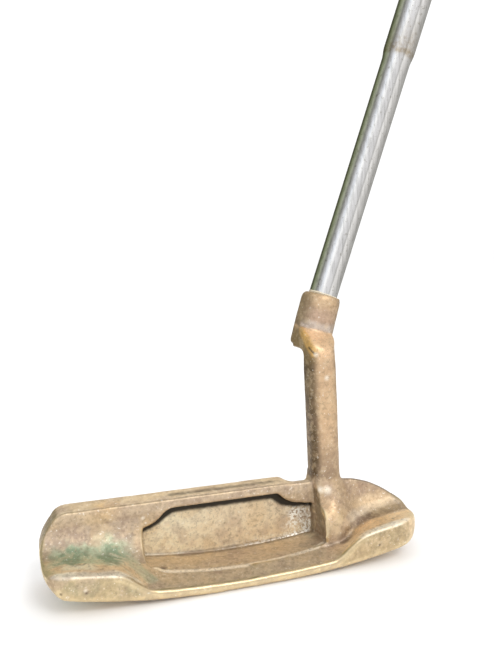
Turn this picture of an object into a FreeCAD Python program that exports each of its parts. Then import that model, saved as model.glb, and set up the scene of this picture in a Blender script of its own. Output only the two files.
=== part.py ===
"""Left-handed blade putter: a cast bronze heel-and-toe weighted head with a plumber's neck,
a stepped steel shaft and a pistol grip.

Row frame, in millimetres: the origin is on the flat land in the middle of the sole, +X runs
along the blade towards the heel, +Y is the way the ball leaves the face, and +Z is up.
"""
import FreeCAD, Part
import math
import os

V = FreeCAD.Vector

# ---- driving dimensions: blade -------------------------------------------------------------
HEAD_DEPTH = 27.2          # leading edge to trailing edge
LOFT_DEG = 4.0
TOPLINE_Z = 23.1
SOLE_LAND = 8.0            # half length of the flat middle of the sole
SOLE_RADIUS = 205.0        # heel-to-toe camber outside the flat land
TOE_X = -59.1
HEEL_X = 58.2
RIM_Y = 3.9                # rear plane of the topline
POCKET_WALL_Y = 7.8        # back of the striking face inside the undercut
CUT_TOP = 60.0             # cutters reach this far above the sole
FLANGE_CREST_Z = 2.85      # trailing edge height at mid blade
FLANGE_CAMBER = 300.0      # radius of the trailing edge's rise towards the ends
STRIP_RISE = 1.15          # how much the flange rises from the trailing edge to the trough

# ---- driving dimensions: bumpers behind the toe and the heel -------------------------------
CREST_Y = -13.0
COVE_TOP_Z = 19.8
TOE_CREST = (-40.0, 10.9, 0.145)      # x where it starts, height there, rise per mm outward
HEEL_CREST = (37.2, 11.2, 0.155)
TOE_VALLEY = (-40.5, 10.9, 0.10)
HEEL_VALLEY = (40.0, 10.5, 0.13)
TOE_CREST_FOOT = -28.0                # x where the toe crest has run out into the flange
HEEL_CREST_FOOT = 25.5
TOE_VALLEY_FOOT = -23.5
HEEL_VALLEY_FOOT = 28.0
VALLEY_Y = -2.9
MOUND_EDGE_X = 26.4                   # the mound at the heel wall of the trough, from its foot up
MOUND_EDGE = ((-5.0, 4.9), (-5.3, 8.6), (-4.9, 10.6), (-4.2, 12.4), (-2.9, 14.3),
              (-1.3, 15.6), (0.3, 16.4), (2.1, 17.1), (RIM_Y, 17.8))
MOUND_TOP_X = 31.0                    # and under the post
MOUND_TOP = ((-5.0, 5.2), (-5.5, 8.6), (-5.2, 11.4), (-4.4, 14.0), (-3.2, 16.3),
             (-1.6, 18.2), (0.2, 19.6), (2.0, 20.6), (RIM_Y, 21.3))
MOUND_END_X = 41.0                    # where the plain cove goes on
CREST_ROUND = 1.3
TRAILING_ROUND = (2.6, 1.3)            # how far the sole's rounded edge runs in, and up
LEADING_ROUND = (1.6, 1.2)

# ---- driving dimensions: trough and undercut pocket ----------------------------------------
POCKET_TOE_X = -29.4
POCKET_HEEL_X = 26.9
POCKET_TOP_Z = 20.3
POCKET_TOE_CLIP = 9.6                 # how far the rim's lower corners reach in
POCKET_HEEL_CLIP = 13.6
POCKET_CLIP_Z = 15.6
POCKET_INSET = 0.12                   # the pocket's floor and ends stop this far short of the trough's
TROUGH_FLOOR_Z = 2.5                  # at the foot of the pocket wall, mid blade
TROUGH_FLOOR_CAMBER = 190.0
TROUGH_RISE = 0.105                   # rise of the trough floor per mm towards the rear
TROUGH_REAR_Y = -7.0
HEEL_WALL_LEAN = 0.08                 # the heel wall of the trough leans over it, mm per mm

# ---- driving dimensions: plumber's neck ----------------------------------------------------
POST_WIDTH = 9.5
POST_CORNER = 3.6
POST_BASE = V(31.1, 6.05, 12.0)       # axis of the post inside the head
POST_LEAN_DEG = -2.0                  # leans towards the toe going up
POST_TOP_Z = 76.0
HOSEL_DIAMETER = 13.2
HOSEL_LEAN_DEG = 15.5
HOSEL_MOUTH = V(34.9, 16.6, 82.0)
HOSEL_LENGTH = 18.0
HOSEL_ROUND = 1.1
ELBOW_BOTTOM_Z = 65.2
ELBOW_REAR_Z = 66.4
ELBOW_TOP_Z = 70.6
SHOULDER_TILT = 0.25                  # the elbow's top falls this much per mm towards the heel
ROOT_FRONT_Y = 11.5
ROOT_SECTIONS = (                     # z, half width, rear y, corner radius
    (25.6, 4.75, 1.30, 3.6),
    (24.0, 4.95, 1.1, 3.8),
    (22.8, 5.4, 0.7, 4.2),
    (21.7, 6.0, 0.1, 4.8),
    (20.6, 6.6, -0.5, 5.4),
    (19.4, 6.9, -0.8, 5.8),
    (16.0, 6.9, -0.8, 5.8),
)
BORE_DIAMETER = 9.62
BORE_DEPTH = 15.0

# ---- driving dimensions: shaft and grip ----------------------------------------------------
CLUB_LENGTH = 889.0                   # ground to the end of the cap, along the shaft
SHAFT_LEAN_DEG = 19.2                 # 70.8 degree lie
SHAFT_MOUTH = V(35.3, 16.6, 82.0)     # shaft axis at the hosel mouth
TIP_DIAMETER = 9.40
SHAFT_WALL = 0.5
FIRST_STEP = 82.0                     # above the hosel mouth
FIRST_STEP_DIAMETER = 10.35
STEP_PITCH = 38.1
STEP_COUNT = 12
BUTT_DIAMETER = 14.9
TAPE_THICKNESS = 0.25
GRIP_LENGTH = 267.0
GRIP_CORNER = 5.2
CAP_THICKNESS = 3.0
CAP_SPIGOT = 7.0
CAP_ROUND = 1.6
VENT_DIAMETER = 3.2
TIP_GAP = 0.4                         # under the tip of the shaft
STEP_TAPER = 2.4
EPOXY_BEAD = 0.9
TAPE_MARGIN = 6.0
GRIP_SECTIONS = (                     # mm below the butt, width, depth, shaft axis to the flat
    (0.0, 25.0, 31.0, 10.6),
    (18.0, 25.4, 32.4, 10.8),
    (42.0, 24.8, 31.0, 10.6),
    (75.0, 23.6, 26.6, 10.2),
    (120.0, 22.6, 23.4, 10.0),
    (175.0, 21.2, 21.6, 9.8),
    (230.0, 19.6, 19.8, 9.5),
    (GRIP_LENGTH, 18.4, 18.6, 9.2),
)

HALF_DEPTH = HEAD_DEPTH / 2.0
HEEL_RIDGE = ((36.0, 22.4), (46.0, 20.2), (56.0, 14.4))
BEVEL_RIDGE_Y = 4.6
BEVEL_FRONT_Y = 17.0
BEVEL_SLOPE = 0.36
BEVEL_MARGIN = 0.15


def blend(value, start, end):
    """0 at start, 1 at end, with level ends in between."""
    t = min(1.0, max(0.0, (value - start) / (end - start)))
    return t * t * (3.0 - 2.0 * t)


def sole_z(x):
    return max(0.0, abs(x) - SOLE_LAND) ** 2 / (2.0 * SOLE_RADIUS)


def closed_face(corners, place):
    """A face inside straight, arc and spline edges. corners holds points, (through, end) for an
    arc, or a list of points for a spline; place turns plane coordinates into a 3-D point."""
    edges = []
    start = place(*corners[0])
    here = start
    for corner in corners[1:]:
        if isinstance(corner, list):
            end = place(*corner[-1])
            spline = Part.BSplineCurve()
            spline.interpolate([here] + [place(*point) for point in corner])
            edges.append(spline.toShape())
        elif isinstance(corner[0], tuple):
            through, end = place(*corner[0]), place(*corner[1])
            edges.append(Part.Arc(here, through, end).toShape())
        else:
            end = place(*corner)
            edges.append(Part.LineSegment(here, end).toShape())
        here = end
    if here.distanceToPoint(start) > 1e-6:
        edges.append(Part.LineSegment(here, start).toShape())
    return Part.Face(Part.Wire(edges))


# ---- the head ------------------------------------------------------------------------------
def elevation_block():
    """The blade's outline seen from behind, pushed through its whole depth."""
    toe_end, heel_end = -49.0, 49.4
    toe_mid, heel_mid = -28.5, 29.0
    outline = [
        (SOLE_LAND, 0.0),
        (-SOLE_LAND, 0.0),
        ((toe_mid, sole_z(toe_mid)), (toe_end, sole_z(toe_end))),
        ((-56.3, 7.5), (TOE_X, 13.0)),
        ((-57.7, 16.8), (-55.4, 20.2)),
        ((-53.9, 22.1), (-51.0, TOPLINE_Z)),
        (17.0, TOPLINE_Z + 0.1),
        (36.0, 22.4),
        ((47.2, 19.4), (55.0, 14.6)),
        ((57.9, 11.3), (57.3, 8.2)),
        ((54.3, 5.5), (heel_end, sole_z(heel_end))),
        ((heel_mid, sole_z(heel_mid)), (SOLE_LAND, 0.0)),
    ]
    face = closed_face(outline, lambda x, z: V(x, -HALF_DEPTH, z))
    return face.extrude(V(0, HEAD_DEPTH, 0))


def plan_block():
    """The blade's outline seen from above, pushed through its whole height."""
    outline = [
        (-51.5, -HALF_DEPTH),
        ((-57.2, -11.4), (TOE_X, -6.0)),
        (TOE_X, 8.5),
        ((-58.0, 12.3), (-54.5, HALF_DEPTH)),
        (51.5, HALF_DEPTH),
        ((57.5, 6.0), (HEEL_X, -3.0)),
        ((54.1, -10.7), (45.0, -HALF_DEPTH)),
    ]
    face = closed_face(outline, lambda x, y: V(x, y, -1.0))
    return face.extrude(V(0, 0, CUT_TOP))


def face_cutter():
    """Everything in front of the lofted striking face."""
    lean = math.tan(math.radians(LOFT_DEG))
    outline = [
        (HALF_DEPTH, 0.0),
        (HALF_DEPTH - CUT_TOP * lean, CUT_TOP),
        (HALF_DEPTH + 10.0, CUT_TOP),
        (HALF_DEPTH + 10.0, -1.0),
        (HALF_DEPTH, -1.0),
    ]
    face = closed_face(outline, lambda y, z: V(-70.0, y, z))
    return face.extrude(V(140.0, 0, 0))


def ridge_z(x):
    """Height of the highest line of the head, on the topline and over the heel."""
    if x < HEEL_RIDGE[0][0]:
        return TOPLINE_Z + 0.1
    (x0, z0), (x1, z1), (x2, z2) = HEEL_RIDGE
    t = (x - x0) / (x2 - x0)
    bow = z1 - (z0 + (z2 - z0) * (x1 - x0) / (x2 - x0))
    return z0 + (z2 - z0) * t + 4.0 * bow * t * (1.0 - t)


def heel_bevel_cutter():
    """The slope that takes the front of the topline down ahead of the post and the heel."""
    wires = []
    for x in (16.0, 17.2, 18.4, 19.8, 21.2, 28.0, 36.0, 41.0, 46.0, 51.0, 56.0, 61.0):
        ridge = ridge_z(x) + BEVEL_MARGIN
        front = ridge - BEVEL_SLOPE * (BEVEL_FRONT_Y - BEVEL_RIDGE_Y) * blend(x, 16.0, 21.2)
        points = [V(x, BEVEL_RIDGE_Y, ridge), V(x, BEVEL_FRONT_Y, front),
                  V(x, BEVEL_FRONT_Y, CUT_TOP), V(x, BEVEL_RIDGE_Y, CUT_TOP)]
        wires.append(Part.makePolygon(points + points[:1]))
    return Part.makeLoft(wires, True, True)


def crest_z(x):
    """Height of the trailing edge: low along the flange, high behind the toe and the heel."""
    flange = FLANGE_CREST_Z + x * x / (2.0 * FLANGE_CAMBER)
    start, height, rise = TOE_CREST if x < 0 else HEEL_CREST
    foot = TOE_CREST_FOOT if x < 0 else HEEL_CREST_FOOT
    bumper = height + rise * max(0.0, abs(x) - abs(start))
    return flange + (bumper - flange) * blend(abs(x), abs(foot), abs(start))


def valley_z(x):
    """Height of the line where the bumper's shelf meets the cove."""
    flange = FLANGE_CREST_Z + STRIP_RISE + x * x / (2.0 * FLANGE_CAMBER)
    start, height, rise = TOE_VALLEY if x < 0 else HEEL_VALLEY
    foot = TOE_VALLEY_FOOT if x < 0 else HEEL_VALLEY_FOOT
    bumper = height + rise * max(0.0, abs(x) - abs(start))
    return flange + (bumper - flange) * blend(abs(x), abs(foot), abs(start))


def cove(x):
    """Points up the back of the blade at x, from the foot of the cove to the rim's rear plane."""
    valley = valley_z(x)
    width, height = RIM_Y - VALLEY_Y, COVE_TOP_Z - valley
    radius = (width ** 2 + height ** 2) / (2.0 * width)
    sweep = math.asin(height / radius)
    points = []
    for step in range(len(MOUND_EDGE)):
        angle = sweep * (1.0 - step / (len(MOUND_EDGE) - 1))
        points.append((RIM_Y - radius * (1.0 - math.cos(angle)), COVE_TOP_Z - radius * math.sin(angle)))
    return points


def between(first, second, share):
    """Points part of the way from one list of points to another."""
    return [(a + (c - a) * share, b + (d - b) * share) for (a, b), (c, d) in zip(first, second)]


def rear_line(x):
    """The cove, which swells into a rounded mound where the post stands on the blade."""
    mound = between(MOUND_EDGE, MOUND_TOP, blend(x, MOUND_EDGE_X, MOUND_TOP_X))
    return between(mound, cove(x), blend(x, MOUND_TOP_X, MOUND_END_X) if x > 0 else 1.0)


def rear_cutter():
    """The air behind the topline and above the flange, the shelves and their coves."""
    reach = 66.0
    stations = 67
    out = -HALF_DEPTH - 4.0
    bulge = CREST_ROUND * (1.0 - math.sqrt(0.5))
    wires = []
    for step in range(stations):
        x = -reach + 2.0 * reach * step / (stations - 1)
        line = rear_line(x)
        foot_y, foot_z = line[0]
        crest = crest_z(x)
        edge_y = -HALF_DEPTH + CREST_ROUND
        edge_z = crest + (crest - foot_z) / (CREST_Y - foot_y) * (edge_y - CREST_Y)
        low = edge_z - CREST_ROUND
        outline = [
            (out, low),
            (-HALF_DEPTH, low),
            ((-HALF_DEPTH + bulge, edge_z - bulge), (edge_y, edge_z)),
            line[0],
            line[1:],
            (RIM_Y, CUT_TOP),
            (out, CUT_TOP),
        ]
        wires.append(closed_face(outline, lambda y, z: V(x, y, z)).OuterWire)
    return Part.makeLoft(wires, True, True)


def sole_edge_cutter(side, round_y, round_z):
    """Rounds the long edge of the sole under the trailing (side -1) or leading (side 1) edge."""
    reach = 66.0
    stations = 34
    share = math.sqrt(0.5)
    inner, edge, out = HALF_DEPTH - round_y, HALF_DEPTH, HALF_DEPTH + 2.0
    wires = []
    for step in range(stations):
        x = -reach + 2.0 * reach * step / (stations - 1)
        low = sole_z(x)
        outline = [
            (inner, low),
            ((inner + round_y * share, low + round_z * (1.0 - share)), (edge, low + round_z)),
            (out, low + round_z),
            (out, low - 2.0),
            (inner, low - 2.0),
        ]
        wires.append(closed_face(outline, lambda y, z: V(x, side * y, z)).OuterWire)
    return Part.makeLoft(wires, True, True)


def trough_floor_z(x, y):
    camber = x * x / (2.0 * TROUGH_FLOOR_CAMBER)
    return TROUGH_FLOOR_Z + camber + TROUGH_RISE * (POCKET_WALL_Y - y)


def trough_cutter():
    """The open trough between the bumpers, up to the rear plane of the topline."""
    def section(y):
        corners = [
            (-40.0, trough_floor_z(-40.0, y)),
            ((0.0, trough_floor_z(0.0, y)), (40.0, trough_floor_z(40.0, y))),
            (40.0, CUT_TOP),
            (-40.0, CUT_TOP),
        ]
        return closed_face(corners, lambda x, z: V(x, y, z)).OuterWire

    def plan(z):
        toe, heel, rear = POCKET_TOE_X, POCKET_HEEL_X + HEEL_WALL_LEAN * (12.0 - z), TROUGH_REAR_Y
        outline = [
            (toe, RIM_Y),
            (toe, rear + 8.0),
            ((toe + 1.4, rear + 3.4), (toe + 5.4, rear)),
            (heel - 4.6, rear),
            ((heel - 1.1, rear + 1.6), (heel, rear + 5.4)),
            (heel, RIM_Y),
        ]
        return closed_face(outline, lambda x, y: V(x, y, z)).OuterWire

    walls = Part.makeLoft([plan(0.0), plan(26.0)], True, True)
    above_floor = Part.makeLoft([section(TROUGH_REAR_Y - 3.0), section(RIM_Y + 1.0)], True, True)
    return walls.common(above_floor)


def pocket_cutter():
    """The recess in the back of the face, undercut beneath the topline."""
    toe, heel = POCKET_TOE_X + POCKET_INSET, POCKET_HEEL_X - POCKET_INSET
    top, clip = POCKET_TOP_Z, POCKET_CLIP_Z
    toe_top = toe + POCKET_TOE_CLIP
    heel_top = heel - POCKET_HEEL_CLIP

    def floor_z(x, y):
        return trough_floor_z(x, y) + POCKET_INSET

    def section(y):
        corners = [
            (toe, floor_z(toe, y)),
            ((0.0, floor_z(0.0, y)), (heel, floor_z(heel, y))),
            (heel, clip - 1.8),
            ((heel - 0.9, clip - 0.2), (heel - 2.8, clip + 0.2)),
            (heel - 7.4, clip + 0.9),
            ((heel - 9.4, clip + 1.8), (heel_top + 1.6, top - 0.8)),
            ((heel_top + 1.0, top - 0.2), (heel_top, top)),
            (toe_top, top),
            ((toe_top - 2.2, top - 0.7), (toe_top - 3.6, clip + 2.8)),
            ((toe + 4.0, clip + 1.1), (toe, clip - 0.4)),
        ]
        return closed_face(corners, lambda x, z: V(x, y, z)).OuterWire

    return Part.makeLoft([section(RIM_Y - 1.0), section(POCKET_WALL_Y)], True, True)


def rounded_box(centre, half_x, rear, front, corner):
    """A level wire round a rectangle with rounded corners; rear and front are y values."""
    inner = corner * (1.0 - math.sqrt(0.5))
    corners = [
        (-half_x + corner, rear),
        (half_x - corner, rear),
        ((half_x - inner, rear + inner), (half_x, rear + corner)),
        (half_x, front - corner),
        ((half_x - inner, front - inner), (half_x - corner, front)),
        (-half_x + corner, front),
        ((-half_x + inner, front - inner), (-half_x, front - corner)),
        (-half_x, rear + corner),
        ((-half_x + inner, rear + inner), (-half_x + corner, rear)),
    ]
    return closed_face(corners, lambda a, y: V(centre.x + a, y, centre.z)).OuterWire


def post_axis(z):
    return V(POST_BASE.x + math.tan(math.radians(POST_LEAN_DEG)) * (z - POST_BASE.z), POST_BASE.y, z)


def post():
    half = POST_WIDTH / 2.0
    rear, front = POST_BASE.y - half, POST_BASE.y + half
    wires = [rounded_box(post_axis(z), half, rear, front, POST_CORNER) for z in (POST_BASE.z, POST_TOP_Z)]
    return Part.makeLoft(wires, True, True)


def root():
    """The post's flared foot."""
    wires = []
    for z, half_x, rear, corner in ROOT_SECTIONS:
        wires.append(rounded_box(post_axis(z), half_x, rear, ROOT_FRONT_Y, corner))
    return Part.makeLoft(wires, True, True)


def lean(degrees):
    angle = math.radians(degrees)
    return V(math.sin(angle), 0.0, math.cos(angle))


def hosel():
    axis = lean(HOSEL_LEAN_DEG)
    foot = HOSEL_MOUTH - axis * HOSEL_LENGTH
    barrel = Part.makeCylinder(HOSEL_DIAMETER / 2.0, HOSEL_LENGTH, foot, axis)
    return barrel.makeFillet(HOSEL_ROUND, barrel.Edges)


def elbow():
    """The arm that carries the hosel ahead of the post."""
    axis = lean(HOSEL_LEAN_DEG)
    foot = HOSEL_MOUTH - axis * HOSEL_LENGTH
    half = POST_WIDTH / 2.0
    reach = HOSEL_DIAMETER / 2.0 - 0.15
    inner = POST_CORNER * (1.0 - math.sqrt(0.5))
    wires = []
    for z in (ELBOW_BOTTOM_Z, POST_TOP_Z):
        post_x, rear = post_axis(z).x, POST_BASE.y - half
        hosel_x = foot.x + axis.x / axis.z * (z - foot.z)
        corners = [
            (post_x - half, POST_BASE.y),
            (hosel_x - reach, HOSEL_MOUTH.y),
            (hosel_x + reach, HOSEL_MOUTH.y),
            (post_x + half, POST_BASE.y),
            (post_x + half, rear + POST_CORNER),
            ((post_x + half - inner, rear + inner), (post_x + half - POST_CORNER, rear)),
            (post_x - half + POST_CORNER, rear),
            ((post_x - half + inner, rear + inner), (post_x - half, rear + POST_CORNER)),
        ]
        wires.append(closed_face(corners, lambda x, y: V(x, y, z)).OuterWire)
    return Part.makeLoft(wires, True, True)


def shoulder_cutter():
    """Everything above the elbow's top, which climbs from the post to the hosel and falls
    towards the heel, square to the hosel."""
    rear = POST_BASE.y - POST_WIDTH / 2.0
    crease = HOSEL_MOUTH.y - HOSEL_DIAMETER / 2.0
    climb = (ELBOW_TOP_Z - ELBOW_REAR_Z) / (crease - rear)
    reach = 60.0
    raised = SHOULDER_TILT * post_axis(ELBOW_REAR_Z).x
    side = [
        (rear - 4.0, ELBOW_REAR_Z - 4.0 * climb),
        (HOSEL_MOUTH.y + 8.0, ELBOW_REAR_Z + climb * (HOSEL_MOUTH.y + 8.0 - rear)),
        (HOSEL_MOUTH.y + 8.0, 120.0),
        (rear - 4.0, 120.0),
    ]
    face = closed_face(side, lambda y, z: V(0.0, y, z + raised))
    return face.extrude(V(reach, 0, -SHOULDER_TILT * reach))


def bore():
    axis = lean(SHAFT_LEAN_DEG)
    return Part.makeCylinder(BORE_DIAMETER / 2.0, BORE_DEPTH + 6.0, SHAFT_MOUTH - axis * BORE_DEPTH, axis)


def head_shape():
    trough = trough_cutter()
    blade = elevation_block().common(plan_block())
    for cutter in (trough, rear_cutter(), heel_bevel_cutter()):
        blade = blade.cut(cutter)
    blade = blade.fuse(root().cut(trough))
    cutters = [pocket_cutter(), face_cutter()]
    cutters += [sole_edge_cutter(-1, *TRAILING_ROUND), sole_edge_cutter(1, *LEADING_ROUND)]
    for cutter in cutters:
        blade = blade.cut(cutter)
    lower_neck = post().fuse(elbow()).cut(shoulder_cutter())
    casting = blade.fuse([lower_neck, hosel()]).cut(bore())
    return casting


# ---- the shaft and what joins it to the head ------------------------------------------------
def shaft_axis():
    return lean(SHAFT_LEAN_DEG)


def shaft_top():
    """Distance from the hosel mouth to the butt end of the shaft."""
    mouth_above_ground = SHAFT_MOUTH.z / shaft_axis().z
    return CLUB_LENGTH - CAP_THICKNESS - mouth_above_ground


def turned(profile):
    """A solid of revolution about the shaft's axis from (distance, radius) points."""
    points = [V(radius, 0, distance) for distance, radius in profile]
    wire = Part.makePolygon(points + points[:1])
    solid = Part.Face(wire).revolve(V(0, 0, 0), V(0, 0, 1), 360)
    turn = FreeCAD.Rotation(V(0, 0, 1), shaft_axis())
    solid.Placement = FreeCAD.Placement(SHAFT_MOUTH, turn)
    return solid


def shaft_steps():
    """(distance, radius) along the outside of the shaft, from the tip to the butt."""
    radius = TIP_DIAMETER / 2.0
    profile = [(-BORE_DEPTH + TIP_GAP, radius)]
    growth = (BUTT_DIAMETER - FIRST_STEP_DIAMETER) / 2.0 / STEP_COUNT
    for step in range(STEP_COUNT + 1):
        distance = FIRST_STEP + step * STEP_PITCH
        profile.append((distance - STEP_TAPER / 2.0, radius))
        radius = FIRST_STEP_DIAMETER / 2.0 + growth * step
        profile.append((distance + STEP_TAPER / 2.0, radius))
    profile.append((shaft_top(), radius))
    return profile


def shaft():
    outside = shaft_steps()
    inside = [(distance, radius - SHAFT_WALL) for distance, radius in reversed(outside)]
    return turned(outside + inside)


def hosel_epoxy():
    """The cured adhesive between shaft and bore, with the small bead left at the mouth."""
    shaft_radius, bore_radius = TIP_DIAMETER / 2.0, BORE_DIAMETER / 2.0
    return turned([
        (-BORE_DEPTH + TIP_GAP, shaft_radius),
        (-BORE_DEPTH + TIP_GAP, bore_radius),
        (0.0, bore_radius),
        (EPOXY_BEAD * 0.7, shaft_radius + EPOXY_BEAD * 0.6),
        (EPOXY_BEAD * 1.5, shaft_radius),
    ])


# ---- grip ------------------------------------------------------------------------------------
def grip_tape():
    inner = BUTT_DIAMETER / 2.0
    outer = inner + TAPE_THICKNESS
    top = shaft_top()
    foot = top - GRIP_LENGTH + TAPE_MARGIN
    return turned([(foot, inner), (foot, outer), (top, outer), (top, inner)])


def grip_section(distance, width, depth, flat):
    """A level wire round the grip: flat towards the thumbs (-X), round towards the palm (+X)."""
    flat_x, palm_x = -flat, depth - flat
    half = width / 2.0
    corner = GRIP_CORNER
    inner = corner * (1.0 - math.sqrt(0.5))
    waist_x = palm_x - half * 1.05
    corners = [
        (flat_x, -half + corner),
        (flat_x, half - corner),
        ((flat_x + inner, half - inner), (flat_x + corner, half)),
        (waist_x, half),
        ((palm_x, 0.0), (waist_x, -half)),
        (flat_x + corner, -half),
        ((flat_x + inner, -half + inner), (flat_x, -half + corner)),
    ]
    return closed_face(corners, lambda x, y: V(x, y, distance)).OuterWire


def grip():
    top = shaft_top()
    wires = []
    for below, width, depth, flat in GRIP_SECTIONS:
        wires.append(grip_section(top - below, width, depth, flat))
    body = Part.makeLoft(wires, True, False)
    inner = BUTT_DIAMETER / 2.0 + TAPE_THICKNESS
    hole = Part.makeCylinder(inner, GRIP_LENGTH + 20.0, V(0, 0, top - GRIP_LENGTH - 10.0))
    body = body.cut(hole)
    body.Placement = FreeCAD.Placement(SHAFT_MOUTH, FreeCAD.Rotation(V(0, 0, 1), shaft_axis()))
    return body


def grip_cap():
    """The hard rubber cap moulded on the butt, with its vent hole and a spigot in the shaft."""
    top = shaft_top()
    outline = grip_section(top, *GRIP_SECTIONS[0][1:])
    plate = Part.Face(outline).extrude(V(0, 0, CAP_THICKNESS))
    long_edges = [edge for edge in plate.Edges if edge.BoundBox.ZMin > top + CAP_THICKNESS - 0.01]
    plate = plate.makeFillet(CAP_ROUND, long_edges)
    spigot = Part.makeCylinder(BUTT_DIAMETER / 2.0 - SHAFT_WALL - 0.05, CAP_SPIGOT, V(0, 0, top - CAP_SPIGOT))
    vent = Part.makeCylinder(VENT_DIAMETER / 2.0, 40.0, V(0, 0, top - 20.0))
    cap = plate.fuse(spigot).cut(vent)
    cap.Placement = FreeCAD.Placement(SHAFT_MOUTH, FreeCAD.Rotation(V(0, 0, 1), shaft_axis()))
    return cap


def export(name, shape):
    shape.exportStep(os.path.join("parts", name + ".step"))
    print(name, "valid", shape.isValid(), "solids", len(shape.Solids), "cm3", round(shape.Volume / 1000.0, 2))


def main():
    os.makedirs("parts", exist_ok=True)
    pieces = {
        "head": head_shape,
        "hosel_epoxy": hosel_epoxy,
        "shaft": shaft,
        "grip_tape": grip_tape,
        "grip": grip,
        "grip_cap": grip_cap,
    }
    for name, build in pieces.items():
        export(name, build())


main()
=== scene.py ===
"""Looks of the blade putter: a patinated bronze head, a chromed stepped shaft with its
adhesive bead, and a black pistol grip. Lengths are metres in the row frame: the origin is on
the sole, +X runs from toe to heel, +Y is out of the striking face and +Z is up. Where a comment
or a docstring says so, places and sizes are in millimetres.
"""
import math

import bpy
import numpy as np
from mathutils import Matrix, Vector, noise


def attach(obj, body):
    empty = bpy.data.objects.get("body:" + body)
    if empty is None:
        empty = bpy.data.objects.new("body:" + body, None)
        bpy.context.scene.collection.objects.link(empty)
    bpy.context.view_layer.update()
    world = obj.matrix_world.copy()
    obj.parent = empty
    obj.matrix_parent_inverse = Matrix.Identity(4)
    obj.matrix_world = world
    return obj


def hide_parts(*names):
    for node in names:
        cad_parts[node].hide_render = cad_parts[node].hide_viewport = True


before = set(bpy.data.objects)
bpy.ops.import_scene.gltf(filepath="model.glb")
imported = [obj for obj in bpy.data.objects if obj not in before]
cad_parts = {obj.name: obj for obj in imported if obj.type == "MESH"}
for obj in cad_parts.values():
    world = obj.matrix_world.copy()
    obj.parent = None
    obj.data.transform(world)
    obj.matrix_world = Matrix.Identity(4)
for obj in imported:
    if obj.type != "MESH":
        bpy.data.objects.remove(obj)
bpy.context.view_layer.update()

MM = 0.001
COLLECTION = bpy.context.scene.collection

# ---- camera ----------------------------------------------------------------------------------
CAMERA_PLACE = Vector((-54.366, -187.068, 99.589)) * MM
CAMERA_RIGHT = Vector((0.95450, -0.29761, -0.01871))
CAMERA_UP = Vector((0.05618, 0.11787, 0.99144))
CAMERA_LENS = 36.32
CAMERA_CLIP = (0.01, 50.0)

# ---- shaft and adhesive ----------------------------------------------------------------------
SHAFT_LEAN = math.radians(19.2)
SHAFT_AXIS = Vector((math.sin(SHAFT_LEAN), 0.0, math.cos(SHAFT_LEAN)))
SHAFT_MOUTH = Vector((35.3, 16.6, 82.0)) * MM
CLUB_LENGTH = 889.0 * MM
CAP_THICKNESS = 3.0 * MM
SHAFT_TOP = CLUB_LENGTH - CAP_THICKNESS - SHAFT_MOUTH.z / SHAFT_AXIS.z
BORE_DEPTH = 14.6 * MM
TIP_RADIUS = 4.70 * MM
BORE_RADIUS = 4.81 * MM
SHAFT_WALL = 0.5 * MM
FIRST_STEP = 82.0 * MM
FIRST_STEP_RADIUS = 5.175 * MM
STEP_PITCH = 38.1 * MM
STEP_COUNT = 12
STEP_TAPER = 4.2 * MM
BUTT_RADIUS = 7.45 * MM
BEAD = 0.36 * MM
BEAD_STEPS = 7
BEAD_SWELL = 0.35                     # how uneven the bead is, as a share of its height
LATHE_SEGMENTS = 96
STEP_ROWS = (0.0, 0.15, 0.3, 0.5, 0.7, 0.85, 1.0)     # rows of points up each taper, in tapers
ROWS_BELOW = (0.45, 0.3, 0.15)                        # and along the plain tube, in pitches
ROWS_ABOVE = (0.1, 0.2, 0.35)

# ---- grip and cap, in millimetres ------------------------------------------------------------
GRIP_LENGTH = 267.0
TAPE_THICKNESS = 0.25
VENT_RADIUS = 1.6
GRIP_CORNER = 5.2
PALM_ROUND = 1.05                     # depth of the round side, in half widths
GRIP_EASE = 9.0                       # how far the change at a station spreads up and down
LIP_LENGTH = 2.2                      # the grip's mouth end is rounded off over this length
LIP_DEPTH = 0.9
CAP_ROUND = 1.6
CAP_SPIGOT = 7.0
SPIGOT_GAP = 0.05
VENT_CHAMFER = 0.3
DIMPLE_PITCH = 4.0
DIMPLE_RADIUS = 1.35
RIB_PITCH = 3.3
RIB_GROOVE = 0.75
PATTERN_DEPTH = 0.5
PATTERN_TOP = (14.0, 20.0)            # the pattern fades in here below the butt, and out here
PATTERN_BOTTOM = (256.0, 250.0)
FLAT_SIDE = (-4.0, -7.0)              # x where the dimples fade in, and their gap to the corners
FLAT_MARGIN = (3.0, 4.2)
PALM_SIDE = (1.5, 3.5)                # x where the ribs fade in
SEAM_WIDTH = (0.7, 0.25)
SEAM_HEIGHT = 0.25                    # of the moulding seam, in pattern depths
SKIN_SEGMENTS = 168
SKIN_ROWS = 560
CORNER_STEPS = 8
PALM_STEPS = 32
GRIP_STATIONS = (                     # below the butt: width, depth, shaft axis to the flat
    (0.0, 25.0, 31.0, 10.6),
    (18.0, 25.4, 32.4, 10.8),
    (42.0, 24.8, 31.0, 10.6),
    (75.0, 23.6, 26.6, 10.2),
    (120.0, 22.6, 23.4, 10.0),
    (175.0, 21.2, 21.6, 9.8),
    (230.0, 19.6, 19.8, 9.5),
    (267.0, 18.4, 18.6, 9.2),
)
CAP_DISH = (                          # share of the outline's size, and how deep the dish is there
    (0.75, 0.0),
    (0.70, 0.15),
    (0.66, 0.45),
    (0.60, 0.5),
    (0.35, 0.5),
    (0.18, 0.5),
)

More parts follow.
